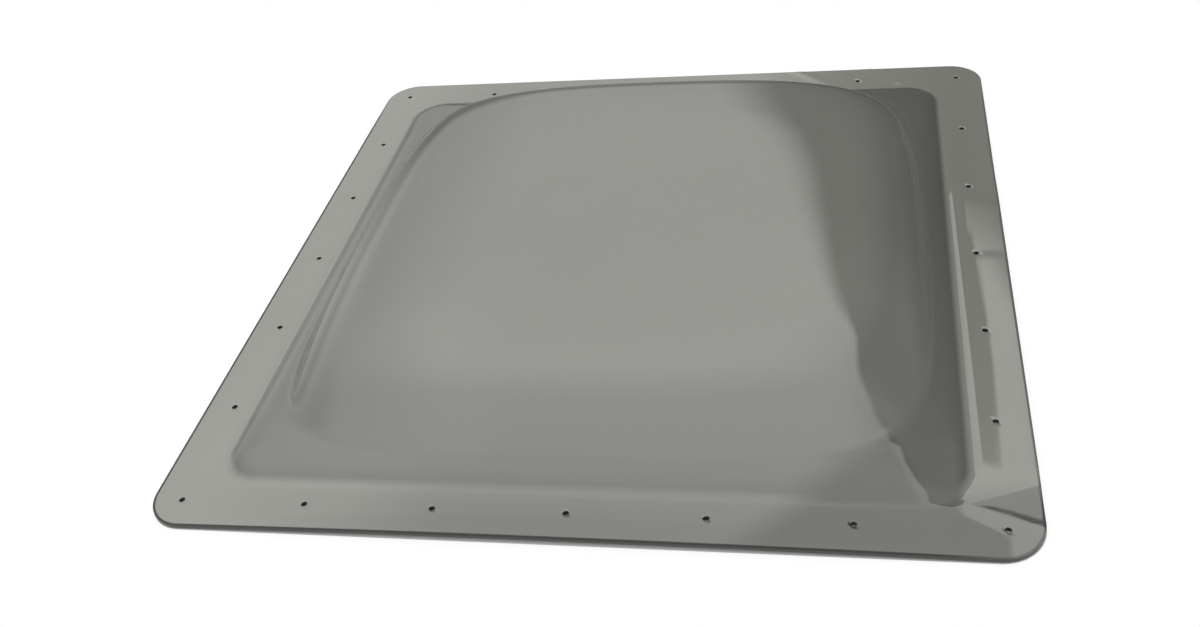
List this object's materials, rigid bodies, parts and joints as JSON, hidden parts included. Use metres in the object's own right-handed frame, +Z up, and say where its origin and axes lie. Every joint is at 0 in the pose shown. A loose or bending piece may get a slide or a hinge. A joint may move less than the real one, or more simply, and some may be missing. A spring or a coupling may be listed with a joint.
{
  "type": "rv skylight",
  "caption": "Square smoke-tinted plastic roof skylight: one blown sheet with a raised dome and a flat drilled flange all round.",
  "frame": {"origin": "centre of the flange's underside, where it lies on the roof", "axes": "+Z up out of the roof through the crown; -Y towards the near side in the picture; +X to the picture's right"},
  "size_m": [0.6604, 0.6604, 0.0667],
  "materials": {
    "smoke_plastic": "glossy smoke-tinted see-through sheet, cut edges darker"
  },
  "bodies": {
    "root": {"skylight_dome": "smoke_plastic"}
  },
  "joints": []
}
